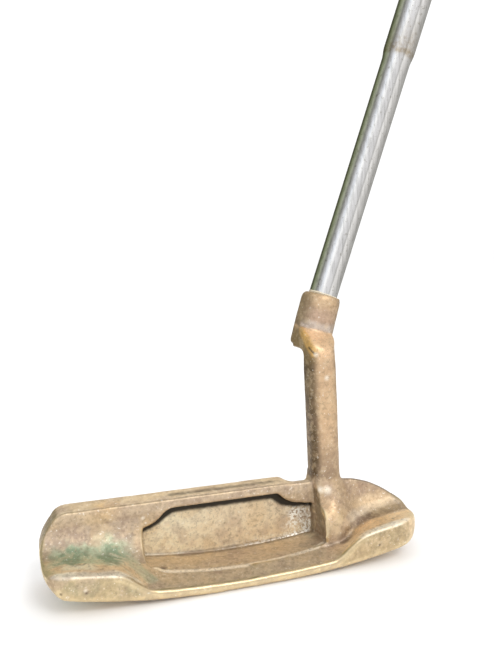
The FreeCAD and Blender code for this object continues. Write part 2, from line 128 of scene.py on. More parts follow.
# ---- head, in millimetres --------------------------------------------------------------------
HEAD_VOXEL = 0.38
WOBBLE_SEED = 7                       # without it turbulence_vector differs from run to run
FLOOR_CAMBER = 190.0                  # radius of the trough's floor from heel to toe
POST_X = 31.1                         # middle of the post at this height, and its lean to the toe
POST_FOOT_Z = 12.0
POST_LEAN = 0.035
SHOULDER_TILT = 0.25                  # the elbow's top falls this much per mm towards the heel
GRAIN_HEIGHT = 0.045                  # of the casting's grain, its waves and its pits
WAVE_HEIGHT = 0.05
PIT_DEPTH = 0.35
BROAD_ROUNDS = 24                     # an edge or a hollow is what this much smoothing moves
EDGE_HEIGHT = 0.25                    # by this much
RIM_EDGE = (
    (-29.3, 7.8, 15.2),
    (-25.4, 7.8, 16.7),
    (-23.2, 7.8, 18.5),
    (-19.8, 7.8, 20.3),
    (13.3, 7.8, 20.3),
    (15.0, 7.8, 19.5),
    (17.5, 7.8, 17.5),
    (20.5, 7.8, 16.6),
    (24.3, 7.8, 16.4),
    (25.4, 7.8, 16.2),
)
FLANGE_CREASE = (                     # seen from above
    (-26.8, -2.6),
    (-24.6, -4.2),
    (-11.2, -5.8),
    (4.0, -6.6),
    (15.0, -6.3),
    (23.0, -5.2),
    (26.0, -3.4),
)
# The line along the heel's cove where a painted lit band lies.
HEEL_LIT_BAND = (
    (56.0, 1.6, 14.0),
    (50.3, 1.0, 13.6),
    (44.6, 0.6, 12.9),
    (38.5, -0.8, 12.2),
    (32.5, -4.5, 11.1),
    (29.6, -5.4, 7.0),
    (27.0, -5.0, 5.2),
)
# The valley behind the heel's shelf, along which a painted shade lies.
HEEL_VALLEY = (
    (56.2, -1.3, 12.8),
    (51.0, -1.2, 12.4),
    (45.1, -2.0, 11.6),
    (39.0, -3.4, 10.3),
    (34.8, -5.0, 8.2),
    (32.0, -5.9, 6.1),
)
PATINA_TAIL = (
    (-41.0, -1.2, 11.6),
    (-37.1, -1.6, 11.6),
    (-34.1, -3.9, 9.4),
    (-31.6, -5.6, 7.6),
    (-29.4, -7.8, 5.9),
)
ELBOW_RIDGE = (
    (25.0, 11.0, 71.4),
    (25.2, 7.5, 69.4),
    (25.4, 5.2, 67.4),
    (26.0, 2.8, 65.2),
)
SCRATCHES = (                         # from, to
    ((-39.5, -1.4, 11.6), (-31.6, -4.2, 7.6)),
    ((-38.5, -3.4, 11.0), (-30.6, -6.4, 6.8)),
    ((-37.4, -5.2, 10.6), (-29.6, -8.4, 5.8)),
    ((-40.0, -6.2, 10.9), (-34.0, -10.6, 8.6)),
)
CRACKS = (
    ((25.2, 10.9, 70.9), (25.6, 10.4, 70.2)),
    ((25.0, 4.4, 66.6), (26.1, 2.5, 64.9)),
    ((-49.6, -6.4, 11.8), (-48.2, -5.8, 11.8)),
    ((-50.6, -5.4, 11.9), (-49.2, -7.2, 11.9)),
    ((-47.6, -6.6, 11.8), (-46.6, -5.2, 11.7)),
)
PITS = (                              # centre, radius
    ((-24.4, -2.3, 5.0), 1.6),
    ((48.1, -8.3, 12.3), 0.8),
    ((-47.3, -13.6, 7.0), 0.6),
    ((40.7, -13.6, 6.8), 0.6),
    ((-53.9, -13.3, 7.6), 0.6),
)
# Painted highlights where light catches the head: centre, radius.
HIGHLIGHT_SPOTS = (
    ((-29.0, 3.9, 18.6), 0.9),
    ((26.6, 2.3, 64.6), 1.3),
    ((29.8, 1.3, 57.1), 1.3),
    ((-47.4, -13.6, 8.0), 0.8),
    ((29.2, -0.2, 21.0), 2.2),
    ((27.0, 0.5, 21.2), 1.6),
    ((-48.6, -7.8, 11.8), 1.2),
)
ELBOW_PULL = ((35.0, 7.5, 67.6), 6.5, (1.0, 0.0, 0.0))     # centre, radius, move

# Colours of the metal in the order they are laid on, and how much of each covers the last.
# Some are painted shade and some painted light: shade on the toe's cove and side, the heel's valley and
# wall and the toe sides of the neck, hosel and elbow; light on the cove's top, the heel's band, the
# crests, the spots and the flange's crease.
TONES = {
    "cast": ((0.53, 0.395, 0.255), 1.0),
    "topline": ((0.68, 0.52, 0.32), 1.0),
    "toe_corner": ((0.50, 0.39, 0.25), 0.8),
    "rim": ((0.60, 0.47, 0.33), 1.0),
    "toe_cove_shade": ((0.37, 0.29, 0.215), 1.0),
    "toe_cove_lit_top": ((0.52, 0.405, 0.30), 0.8),
    "shelf": ((0.80, 0.62, 0.38), 1.0),
    "rear": ((0.56, 0.445, 0.255), 1.0),
    "rear_stain": ((0.42, 0.36, 0.22), 0.7),
    "trough": ((0.59, 0.455, 0.30), 1.0),
    "trough_rear": ((0.60, 0.47, 0.315), 1.0),
    "pocket": ((0.80, 0.67, 0.47), 1.0),
    "pocket_toe_half": ((0.92, 0.84, 0.62), 0.7),
    "toe_end": ((0.62, 0.45, 0.24), 0.8),
    "toe_side_shade": ((0.34, 0.265, 0.15), 0.8),
    "heel_rear": ((0.42, 0.32, 0.18), 0.85),
    "heel_top": ((0.58, 0.43, 0.28), 1.0),
    "heel_crown": ((0.47, 0.34, 0.24), 0.7),
    "heel_slope": ((0.38, 0.28, 0.20), 0.75),
    "mound": ((0.80, 0.55, 0.32), 0.8),
    "heel_valley_shade": ((0.20, 0.14, 0.09), 0.9),
    "heel_lit_band": ((0.76, 0.64, 0.49), 0.65),
    "heel_shelf": ((0.95, 0.67, 0.37), 0.9),
    "topline_rub": ((0.80, 0.52, 0.22), 0.9),
    "wall_foot": ((0.88, 0.80, 0.62), 0.6),
    "wall_foot_line": ((0.34, 0.26, 0.17), 0.85),
    "cleaned": ((0.66, 0.56, 0.42), 0.5),
    "heel_wall_shade": ((0.25, 0.195, 0.12), 0.9),
    "trough_corner": ((0.78, 0.70, 0.50), 0.6),
    "neck": ((0.66, 0.455, 0.275), 1.0),
    "neck_top": ((0.90, 0.62, 0.375), 1.0),
    "neck_foot": ((0.31, 0.22, 0.14), 0.85),
    "neck_toe_side_shade": ((0.085, 0.054, 0.024), 0.9),
    "neck_heel_side": ((0.50, 0.355, 0.215), 0.7),
    "hosel": ((0.56, 0.395, 0.28), 1.0),
    "hosel_mouth": ((0.64, 0.45, 0.27), 0.9),
    "hosel_foot": ((0.68, 0.60, 0.53), 0.8),
    "hosel_toe_side_shade": ((0.30, 0.215, 0.13), 0.75),
    "hosel_heel_side": ((0.36, 0.26, 0.17), 0.6),
    "elbow_facet_shade": ((0.30, 0.205, 0.095), 0.85),
    "elbow_ridge": ((0.76, 0.46, 0.15), 0.9),
    "crest_highlight": ((1.0, 0.93, 0.77), 0.85),
    "dark_cloud": ((0.42, 0.30, 0.225), 0.42),
    "pale_cloud": ((0.70, 0.51, 0.29), 0.4),
    "dark_speck": ((0.28, 0.20, 0.13), 0.20),
    "pale_speck": ((0.84, 0.68, 0.46), 0.24),
    "crack": ((0.10, 0.07, 0.04), 0.9),
    "pit": ((0.14, 0.10, 0.07), 1.0),
    "highlight_spot": ((0.96, 0.88, 0.74), 0.8),
    "flange_crease_highlight": ((1.0, 0.88, 0.70), 0.95),
    "green_halo": ((0.60, 0.56, 0.41), 0.3),
    "pale_crust": ((0.80, 0.77, 0.58), 0.7),
    "verdigris": ((0.47, 0.53, 0.36), 0.85),
    "deep_verdigris": ((0.22, 0.30, 0.19), 0.75),
    "scratch": ((0.74, 0.67, 0.48), 0.65),
}

# ---- floor, light and what the chrome reflects -----------------------------------------------
FLOOR_HALF = 6.0
KEY_PLACE = Vector((0.35, -0.9, 1.1))
KEY_AIM = Vector((0.0, 0.0, 0.1))
KEY_SIZE = 0.5
KEY_POWER = 6.0
SKY_STRENGTH = 1.1
ROOM_RADIUS = 0.16
ROOM_HALF_LENGTH = 0.9
ROOM_MIDDLE = 0.6                     # up the shaft from its mouth
# What the room looks like from the shaft: degrees round its axis from the side that faces the
# place of the camera, positive towards the heel, and the colour there.
ROOM = (
    (-180, (0.20, 0.20, 0.17)),
    (-155, (0.14, 0.14, 0.10)),
    (-130, (0.07, 0.08, 0.04)),
    (-108, (0.24, 0.27, 0.16)),
    (-84, (0.40, 0.42, 0.32)),
    (-64, (0.26, 0.26, 0.24)),
    (-47, (0.55, 0.55, 0.56)),
    (-28, (0.96, 0.99, 1.05)),
    (-12, (1.18, 1.18, 1.18)),
    (6, (0.86, 0.85, 0.86)),
    (34, (0.78, 0.77, 0.77)),
    (44, (0.55, 0.54, 0.53)),
    (54, (1.00, 0.98, 0.96)),
    (74, (0.78, 0.76, 0.74)),
    (106, (0.50, 0.49, 0.47)),
    (145, (0.42, 0.41, 0.39)),
)


def camera():
    data = bpy.data.cameras.new("camera")
    data.lens = CAMERA_LENS
    data.clip_start, data.clip_end = CAMERA_CLIP
    obj = new_object("camera", data)
    back = CAMERA_RIGHT.cross(CAMERA_UP)
    turn = Matrix((CAMERA_RIGHT, CAMERA_UP, back)).transposed()
    obj.matrix_world = Matrix.Translation(CAMERA_PLACE) @ turn.to_4x4()
    bpy.context.scene.camera = obj


# ---- mesh helpers ----------------------------------------------------------------------------
def new_object(name, data):
    obj = bpy.data.objects.new(name, data)
    COLLECTION.objects.link(obj)
    return obj


def read_vertices(mesh, name):
    """One row of three numbers for each vertex: its place, "co", or its "normal"."""
    flat = np.empty(len(mesh.vertices) * 3)
    mesh.vertices.foreach_get(name, flat)
    return flat.reshape(-1, 3)


def set_points(mesh, points):
    mesh.vertices.foreach_set("co", points.ravel())
    mesh.update()


def edges_of(mesh):
    flat = np.empty(len(mesh.edges) * 2, dtype=np.int32)
    mesh.edges.foreach_get("vertices", flat)
    return flat.reshape(-1, 2)


def add_mask(mesh, name, values):
    layer = mesh.attributes.new(name, "FLOAT", "POINT")
    layer.data.foreach_set("value", np.clip(values, 0.0, 1.0).astype(np.float32))


def add_colours(mesh, name, colours):
    layer = mesh.attributes.new(name, "FLOAT_COLOR", "POINT")
    opaque = np.column_stack([colours, np.ones(len(colours))])
    layer.data.foreach_set("color", opaque.ravel().astype(np.float32))


def shade_smooth(mesh, corner=None):
    """Smooth shading, with edges that turn by more than corner, in degrees, left sharp."""
    mesh.polygons.foreach_set("use_smooth", [True] * len(mesh.polygons))
    if corner is not None:
        mesh.set_sharp_from_angle(angle=math.radians(corner))
    mesh.update()


def remeshed(node, name, voxel):
    """A copy of a CAD node as one even, closed mesh."""
    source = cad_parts[node]
    copy = new_object(name + "_source", source.data.copy())
    remesh = copy.modifiers.new("remesh", "REMESH")
    remesh.mode = "VOXEL"
    remesh.voxel_size = voxel
    depsgraph = bpy.context.evaluated_depsgraph_get()
    mesh = bpy.data.meshes.new_from_object(copy.evaluated_get(depsgraph))
    bpy.data.objects.remove(copy)
    mesh.name = name
    mesh.materials.clear()
    return new_object(name, mesh)


def smooth(points, edges, weight, rounds):
    """Moves each point towards the mean of its neighbours, by its weight, this many times."""
    a, b = edges[:, 0], edges[:, 1]
    size = len(points)
    count = np.bincount(edges.ravel(), minlength=size).astype(float)
    share = 0.5 * weight
    points = points.copy()
    for _ in range(rounds):
        for axis in range(3):
            column = points[:, axis]
            total = np.bincount(a, column[b], size) + np.bincount(b, column[a], size)
            points[:, axis] = column + (total / count - column) * share
    return points


def eased(t):
    """From 0 at 0 to 1 at 1, with level ends."""
    return t * t * (3.0 - 2.0 * t)


def ramp(values, low, high):
    """0 below low, 1 above high, smooth in between; low may be above high."""
    return eased(np.clip((values - low) / (high - low), 0.0, 1.0))


def ball(points, centre, radius):
    """1 at the centre of a ball, falling smoothly to 0 at its radius. The points are in metres,
    the centre and the radius in mm."""
    gap = np.linalg.norm(points - np.array(centre) * MM, axis=1) / (radius * MM)
    return eased(np.clip(1.0 - gap, 0.0, 1.0))


def along_shaft(points):
    """How far up the shaft from its mouth each point lies."""
    return (points - np.array(SHAFT_MOUTH)) @ np.array(SHAFT_AXIS)


def tube_faces(rows, segments):
    """The four-sided faces between closed rings of points, and from the last to the first."""
    faces = []
    for row in range(rows):
        after = (row + 1) % rows
        for step in range(segments):
            right = (step + 1) % segments
            faces.append((row * segments + step, row * segments + right,
                          after * segments + right, after * segments + step))
    return faces


def ringed(name, rings):
    """A closed skin through rings of equal point counts, given in the shaft's own frame."""
    turn = np.array(Vector((0, 0, 1)).rotation_difference(SHAFT_AXIS).to_matrix())
    vertices = np.array(rings).reshape(-1, 3) @ turn.T + np.array(SHAFT_MOUTH)
    mesh = bpy.data.meshes.new(name)
    mesh.from_pydata(vertices.tolist(), [], tube_faces(len(rings), len(rings[0])))
    mesh.update()
    return new_object(name, mesh)


def lathe(name, profile):
    """A closed solid of revolution round the shaft's axis from (distance, radius) points."""
    turn = Vector((0, 0, 1)).rotation_difference(SHAFT_AXIS).to_matrix()
    vertices = []
    for distance, radius in profile:
        for step in range(LATHE_SEGMENTS):
            angle = 2.0 * math.pi * step / LATHE_SEGMENTS
            local = Vector((radius * math.cos(angle), radius * math.sin(angle), distance))
            vertices.append(SHAFT_MOUTH + turn @ local)
    mesh = bpy.data.meshes.new(name)
    mesh.from_pydata(vertices, [], tube_faces(len(profile), LATHE_SEGMENTS))
    mesh.update()
    return new_object(name, mesh)


# ---- node helpers ----------------------------------------------------------------------------
def colour(red, green, blue):
    return (red, green, blue, 1.0)


class Graph:
    """A new material, and short calls for the nodes that it is made of."""

    def __init__(self, name):
        self.material = bpy.data.materials.new(name)
        self.material.use_nodes = True
        self.nodes = self.material.node_tree.nodes
        self.links = self.material.node_tree.links
        self.shader = self.nodes["Principled BSDF"]
        self.place = self.nodes.new("ShaderNodeTexCoord").outputs["Object"]

    def put(self, socket, value):
        """Sets a socket to a number or a colour, or links another node's output to it."""
        if isinstance(value, (int, float, tuple)):
            socket.default_value = value
        else:
            self.links.new(value, socket)

    def surface(self, name, value):
        """Puts a value on one of the shader's own sockets."""
        self.put(self.shader.inputs[name], value)

    def stretched(self, scale):
        """The object's coordinates in the shaft's own frame, scaled."""
        node = self.nodes.new("ShaderNodeMapping")
        node.inputs["Scale"].default_value = scale
        node.inputs["Rotation"].default_value = (0.0, -SHAFT_LEAN, 0.0)
        self.links.new(self.place, node.inputs["Vector"])
        return node.outputs["Vector"]

    def noise(self, scale, detail, rough, place=None):
        node = self.nodes.new("ShaderNodeTexNoise")
        node.inputs["Scale"].default_value = scale
        node.inputs["Detail"].default_value = detail
        node.inputs["Roughness"].default_value = rough
        self.links.new(place or self.place, node.inputs["Vector"])
        return node.outputs["Fac"]

    def attribute(self, name, output="Fac"):
        """A mask of the mesh, or with output "Color" a layer of colours."""
        node = self.nodes.new("ShaderNodeAttribute")
        node.attribute_name = name
        return node.outputs[output]

    def span(self, value, low, high, start=0.0, end=1.0, kind="SMOOTHSTEP"):
        """Goes from start to end as the value goes from low to high."""
        node = self.nodes.new("ShaderNodeMapRange")
        node.interpolation_type = kind
        node.inputs["From Min"].default_value = low
        node.inputs["From Max"].default_value = high
        node.inputs["To Min"].default_value = start
        node.inputs["To Max"].default_value = end
        self.links.new(value, node.inputs["Value"])
        return node.outputs["Result"]

    def calc(self, kind, a, b):
        node = self.nodes.new("ShaderNodeMath")
        node.operation = kind
        node.use_clamp = kind in ("ADD", "MULTIPLY")
        self.put(node.inputs[0], a)
        self.put(node.inputs[1], b)
        return node.outputs["Value"]

    def mix(self, amount, a, b):
        node = self.nodes.new("ShaderNodeMix")
        node.data_type = "RGBA"
        self.put(node.inputs["Factor"], amount)
        self.put(node.inputs["A"], a)
        self.put(node.inputs["B"], b)
        return node.outputs["Result"]

    def bump(self, height, strength, distance, under=None):
        node = self.nodes.new("ShaderNodeBump")
        node.inputs["Strength"].default_value = strength
        node.inputs["Distance"].default_value = distance
        self.links.new(height, node.inputs["Height"])
        if under is not None:
            self.links.new(under, node.inputs["Normal"])
        return node.outputs["Normal"]


# ---- head ------------------------------------------------------------------------------------
def gap_to(points, line):
    """Distance in millimetres from each point to a line of straight runs."""
    line = np.array(line)
    nearest = np.full(len(points), np.inf)
    for start, end in zip(line, line[1:]):
        run = end - start
        share = np.clip((points - start) @ run / (run @ run), 0.0, 1.0)
        nearest = np.minimum(nearest, np.linalg.norm(points - start - share[:, None] * run, axis=1))
    return nearest


def wobbled(points, size, amount):
    """The points, each moved by up to about this amount by a noise of this size, in mm."""
    noise.seed_set(WOBBLE_SEED)
    moves = np.array([noise.turbulence_vector(Vector(point) / size, 3, False) for point in points])
    return points + amount * moves


def mottle(points, size, octaves, seed):
    """Noise of this size in mm, about -1 to 1, at each point."""
    shift = Vector((seed * 7.3, seed * 3.1, seed * 5.7))
    return np.array([noise.fractal(Vector(point) / size + shift, 1.0, 2.0, octaves) for point in points])


def above_floor(points_x, points_z, floor_z):
    """Height in mm over the trough's curved floor, which is floor_z high in the middle."""
    return points_z - floor_z - points_x * points_x / (2.0 * FLOOR_CAMBER)


# The zones of the head that are rounded further. Each takes points in metres.
def everywhere(points):
    return np.ones(len(points))


def blade_ends(points):
    return ball(points, (57.0, -8.0, 10.0), 17.0) + ball(points, (-58.0, -9.0, 9.0), 16.0)


def shelf_crests(points):
    ends = ramp(abs(points[:, 0]), 30.0 * MM, 35.0 * MM)
    return ramp(points[:, 1], -8.5 * MM, -10.5 * MM) * ends


def mound(points):
    return ball(points, (36.0, -2.0, 12.0), 13.0) * ramp(points[:, 0], 27.6 * MM, 29.5 * MM)


def saddle(points):
    return ball(points, (35.5, 0.5, 18.4), 7.5)


def rim_at_mound(points):
    return ball(points, (20.0, 4.0, 20.8), 8.0) * ramp(points[:, 0], 25.0 * MM, 24.0 * MM)


def shelf_tips(points):
    return ball(points, (-58.0, -11.0, 11.5), 8.0) + ball(points, (57.0, -6.0, 13.0), 8.5)


def elbow_underside(points):
    return ball(points, (28.4, 2.4, 67.0), 9.4)


def elbow_front(points):
    return ball(points, (24.6, 12.0, 66.0), 8.6)


def hosel_rim(points):
    off_axis = np.cross(points - np.array(SHAFT_MOUTH), np.array(SHAFT_AXIS))
    outer = ramp(np.linalg.norm(off_axis, axis=1), 5.6 * MM, 6.6 * MM)
    return ball(points, (35.3, 16.6, 82.0), 12.0) * outer


SOFT_ZONES = (                        # zone, its weight before clipping at 1, rounds of smoothing
    (everywhere, 1.0, 4),
    (blade_ends, 1.5, 30),
    (shelf_crests, 1.0, 14),
    (mound, 1.8, 90),
    (saddle, 2.0, 110),
    (rim_at_mound, 2.0, 14),
    (shelf_tips, 2.0, 90),
    (elbow_underside, 2.2, 130),
    (elbow_front, 2.2, 20),
    (hosel_rim, 3.0, 45),
)


def softened(points, edges):
    """Rounds the cast corners that a sharp solid leaves, and fills the heel side of the elbow."""
    for zone, weight, rounds in SOFT_ZONES:
        points = smooth(points, edges, np.clip(weight * zone(points), 0.0, 1.0), rounds)
    centre, radius, move = ELBOW_PULL
    return points + ball(points, centre, radius)[:, None] * np.array(move) * MM


def cast_relief(points):
    """How far the raw casting stands out of the smooth shape at each point, in mm."""
    millimetres = points / MM
    relief = GRAIN_HEIGHT * mottle(millimetres, 2.6, 3, 5) + WAVE_HEIGHT * mottle(millimetres, 9.0, 2, 6)
    for centre, radius in PITS:
        relief = relief - PIT_DEPTH * ball(points, centre, radius)
    return relief


class Skin:
    """The head's points in mm, their normals, its main regions and the colour at each point.
    x, y and z are the points moved a little by noise, so that no region ends in a clean line."""

    def __init__(self, points, normals):
        self.points, self.normals = points, normals
        x, y, z = self.x, self.y, self.z = wobbled(points, 5.0, 0.9).T
        self.colours = np.tile(TONES["cast"][0], (len(points), 1))
        self.blade = ramp(z, 25.0, 23.5)
        self.neck = ramp(z, 22.5, 25.5)
        self.toe = ramp(x, -28.5, -30.5)
        self.heel = ramp(x, 27.0, 29.0)
        self.rear = self.blade * ramp(normals[:, 1], -0.6, -0.85) * ramp(y, -11.8, -12.8)
        self.pocket = self.blade * ramp(y, 6.2, 7.2) * ramp(normals[:, 1], -0.5, -0.8)

    def paint(self, name, mask):
        shade, strength = TONES[name]
        share = (np.clip(mask, 0.0, 1.0) * strength)[:, None]
        self.colours += (np.array(shade) - self.colours) * share

    def ball(self, centre, radius):
        return ball(self.points * MM, centre, radius)

    def mottle(self, size, octaves, seed):
        return mottle(self.points, size, octaves, seed)


def paint_topline(skin):
    x, y, z, blade = skin.x, skin.y, skin.z, skin.blade
    skin.paint("topline", blade * ramp(z, 21.6, 22.6) * ramp(y, 3.6, 4.6))
    skin.paint("toe_corner", blade * ramp(z, 20.0, 21.4) * ramp(x, -32.0, -40.0))
    skin.paint("rim", blade * ramp(z, 19.0, 20.4) * ramp(y, 5.4, 4.6) * ramp(y, 2.0, 3.2))
    # The toe's cove is painted darker as shade, and its upper part lighter as painted light.
    skin.paint("toe_cove_shade", blade * skin.toe * ramp(y, -4.0, -2.0) * ramp(y, 3.7, 2.9))
    skin.paint("toe_cove_lit_top", blade * skin.toe * ramp(z, 15.2, 16.6) * ramp(z, 20.0, 18.2))


def paint_rear(skin):
    """The shelves behind the toe and the heel, and the trailing edge."""
    skin.paint("shelf", skin.blade * ramp(skin.y, -2.0, -3.4) * ramp(abs(skin.x), 27.0, 31.0))
    skin.paint("rear", skin.rear)
    skin.paint("rear_stain", skin.rear * ramp(skin.mottle(6.0, 3, 1), 0.0, 0.35))


def paint_trough(skin):
    trough = skin.blade * ramp(abs(skin.x + 1.0), 30.0, 27.6) * ramp(skin.z, 9.0, 7.0)
    skin.paint("trough", trough * ramp(skin.y, 7.6, 6.6))
    skin.paint("trough_rear", trough * ramp(skin.y, -4.8, -7.0) * ramp(skin.normals[:, 2], 0.5, 0.8))
    skin.paint("pocket", skin.pocket)
    skin.paint("pocket_toe_half", skin.pocket * ramp(skin.x, 0.0, -20.0))


def paint_ends(skin):
    """The toe, and the heel with its shelf and the mound that the post stands on."""
    x, y, z, blade, normals = skin.x, skin.y, skin.z, skin.blade, skin.normals
    skin.paint("toe_end", blade * ramp(x, -50.0, -57.0) * ramp(z, 15.0, 8.0))
    # The toe's side that faces the toe is painted darker as shade.
    skin.paint("toe_side_shade", blade * ramp(x, -50.0, -55.0) * ramp(normals[:, 0], -0.3, -0.8))
    skin.paint("heel_rear", skin.rear * skin.heel)
    skin.paint("heel_top", blade * skin.heel * ramp(y, -6.0, -4.0))
    skin.paint("heel_crown", blade * skin.heel * ramp(z, 14.0, 17.0))
    slope = blade * ramp(x, 38.0, 43.0) * ramp(y, 1.4, 2.6)
    skin.paint("heel_slope", slope * ramp(normals[:, 2], 0.3, 0.6))
    skin.paint("mound", skin.ball((28.6, -2.2, 15.0), 6.5) * ramp(normals[:, 0], -0.9, -0.6))
    # Painted shade along the heel's valley.
    valley = ramp(gap_to(skin.points, HEEL_VALLEY), 3.0, 0.9)
    skin.paint("heel_valley_shade", valley * ramp(x, 60.0, 44.0))
    # A painted lit band on the heel's cove, where it faces up.
    skin.paint("heel_lit_band", ramp(gap_to(skin.points, HEEL_LIT_BAND), 2.2, 0.7))
    shelf = blade * ramp(x, 34.0, 38.0) * ramp(y, -3.6, -5.4)
    skin.paint("heel_shelf", shelf * ramp(normals[:, 2], 0.5, 0.8))
    skin.paint("topline_rub", skin.ball((-39.5, 6.5, 23.1), 6.5))


def paint_pocket_edges(skin):
    """The foot of the pocket's wall, its cleaned heel half, and the heel wall of the trough in painted
    shadow.
    """
    x, y, z, blade = skin.x, skin.y, skin.z, skin.blade
    over_foot = above_floor(x, z, 2.9) + 1.4 * skin.mottle(2.2, 3, 7)
    skin.paint("wall_foot", ramp(over_foot, 3.0, 0.8) * skin.pocket)
    line = blade * ramp(z, 4.2, 3.6) * ramp(y, 6.0, 6.8)
    skin.paint("wall_foot_line", line * ramp(abs(x), 27.4, 26.4))
    cleaned = skin.pocket * ramp(x, 14.0, 21.0)
    skin.paint("cleaned", cleaned * ramp(skin.mottle(1.8, 3, 11), -0.45, 0.15))
    # The trough's heel wall, facing the toe, is painted dark as shadow.
    wall = blade * ramp(skin.normals[:, 0], -0.5, -0.85) * ramp(x, 24.6, 25.6) * ramp(x, 29.0, 28.2)
    skin.paint("heel_wall_shade", wall * ramp(z, 21.0, 19.5))
    skin.paint("trough_corner", skin.ball((24.6, 4.6, 4.6), 3.0))


def paint_neck(skin):
    x, z, normals, neck = skin.x, skin.z, skin.normals, skin.neck
    post_x = POST_X - POST_LEAN * (z - POST_FOOT_Z)
    skin.paint("neck", neck)
    skin.paint("neck_top", neck * ramp(z, 61.0, 66.0))
    skin.paint("neck_foot", neck * ramp(z, 42.0, 24.0))
    # The neck's side that faces the toe is painted dark as shade.
    skin.paint("neck_toe_side_shade", neck * ramp(z, 72.0, 64.0) * ramp(normals[:, 0], -0.2, -0.8))
    skin.paint("neck_heel_side", neck * ramp(z, 70.0, 62.0) * ramp(x - post_x, 1.5, 4.0))
    hosel_z = z + SHOULDER_TILT * (x - 31.0)
    hosel = ramp(hosel_z, 70.6, 71.6)
    skin.paint("hosel", hosel)
    skin.paint("hosel_mouth", hosel * ramp(hosel_z, 76.5, 80.0))
    skin.paint("hosel_foot", hosel * ramp(hosel_z, 74.4, 72.8) * ramp(normals[:, 1], -0.2, -0.6))
    # The hosel's side that faces the toe is painted darker as shade.
    skin.paint("hosel_toe_side_shade", hosel * ramp(normals[:, 0], -0.45, -0.9))
    skin.paint("hosel_heel_side", hosel * ramp(normals[:, 0], 0.35, 0.8))
    facet = ramp(z, 72.5, 71.0) * ramp(z, 60.0, 64.0)
    # The elbow's facet that faces the toe is painted dark as shade.
    skin.paint("elbow_facet_shade", facet * ramp(normals[:, 0], -0.35, -0.7))
    skin.paint("elbow_ridge", ramp(gap_to(skin.points, ELBOW_RIDGE), 2.0, 0.7))


def paint_tarnish(skin):
    """A painted highlight on the crests of the shelves, then clouds and specks, which are weaker on the
    neck.
    """
    crest_highlight = skin.blade * ramp(skin.y, -10.4, -11.4) * ramp(abs(skin.x), 31.0, 35.0)
    skin.paint("crest_highlight", crest_highlight * ramp(skin.normals[:, 2], 0.3, 0.7))
    calm = 1.0 - 0.6 * skin.neck
    cloud = skin.mottle(9.0, 4, 2)
    skin.paint("dark_cloud", ramp(cloud, 0.05, 0.40) * calm)
    skin.paint("pale_cloud", ramp(cloud, -0.05, -0.40) * calm)
    speck = skin.mottle(1.1, 2, 9)
    skin.paint("dark_speck", ramp(speck, 0.12, 0.5) * calm)
    skin.paint("pale_speck", ramp(speck, -0.15, -0.5) * calm)


def paint_marks(skin):
    for line in CRACKS:
        skin.paint("crack", ramp(gap_to(skin.points, line), 0.5, 0.15))
    for centre, radius in PITS:
        skin.paint("pit", skin.ball(centre, radius))
    # Painted highlights at the spots where light catches the head.
    for centre, radius in HIGHLIGHT_SPOTS:
        skin.paint("highlight_spot", skin.ball(centre, radius))
    # A painted highlight along the flange's crease.
    too_high = 8.0 * ramp(skin.z, 7.0, 8.0)
    crease_gap = gap_to(skin.points[:, :2], FLANGE_CREASE) + too_high
    skin.paint("flange_crease_highlight", ramp(crease_gap, 0.95, 0.35))


def paint_verdigris(skin):
    """The ragged green crust on the toe's shelf, with its tail, its halo and the scratches in it."""
    x, y, z = skin.x, skin.y, skin.z
    ragged = 2.2 * skin.mottle(4.5, 4, 3)
    green = skin.blade * ramp(x + ragged, -33.5, -38.5) * ramp(x + ragged, -57.5, -53.0)
    green = green * ramp(z + 0.6 * ragged, 15.6, 13.2)
    green = green * ramp(y + ragged, -7.6, -4.6) * ramp(y + ragged, 3.4, 0.8)
    tail = ramp(gap_to(skin.points, PATINA_TAIL) + 0.5 * ragged, 3.2, 1.0)
    green = np.maximum(green, 0.6 * tail)
    toe = skin.blade * skin.toe
    skin.paint("green_halo", toe * ramp(gap_to(skin.points, PATINA_TAIL[:2]) + ragged, 7.0, 4.0))
    crust = ramp(y, -5.2, -6.4) * ramp(y, -10.5, -8.4) * ramp(x, -43.0, -45.5) * ramp(x, -54.0, -51.0)
    skin.paint("pale_crust", toe * crust)
    skin.paint("verdigris", green)
    deep = np.maximum(skin.ball((-51.5, -2.2, 12.2), 7.5), skin.ball((-38.6, -2.6, 11.2), 7.0))
    skin.paint("deep_verdigris", green * ramp(deep + 0.55 * skin.mottle(2.6, 4, 4), 0.15, 0.6))
    for line in SCRATCHES:
        skin.paint("scratch", ramp(gap_to(skin.points, line), 0.55, 0.2))


def patina(points, normals):
    """The colour of the metal at each point, from where it lies on the head; points in mm."""
    skin = Skin(points, normals)
    paint_topline(skin)
    paint_rear(skin)
    paint_trough(skin)
    paint_ends(skin)
    paint_pocket_edges(skin)
    paint_neck(skin)
    paint_tarnish(skin)
    paint_marks(skin)
    paint_verdigris(skin)
    return skin.colours


def rim_shadow(points):
    """The painted shadow in the gap under the pocket's rim; points in mm."""
    ragged = 0.15 * mottle(points, 1.6, 2, 9)
    return 0.98 * ramp(gap_to(points, RIM_EDGE) + ragged, 3.4, 2.4) * ramp(points[:, 1], 4.3, 5.0)


def sparkle(points, normals):
    """Painted glints on the cleaned metal inside the pocket, which is smoother there too: at its heel end
    and along the wall's foot.
    """
    x, y, z = points.T
    ragged = mottle(points, 3.0, 3, 12)
    wall = ramp(y, 6.8, 7.4) * ramp(x, 27.2, 26.0) * ramp(normals[:, 1], -0.3, -0.7)
    heel_end = wall * ramp(x + 3.0 * ragged, 15.0, 22.0) * ramp(z + ragged, 15.6, 13.0)
    foot = wall * ramp(x, -8.0, 16.0) * ramp(above_floor(x, z, 3.1) + 1.2 * ragged, 2.6, 0.8)
    return np.maximum(heel_end, 0.45 * foot)


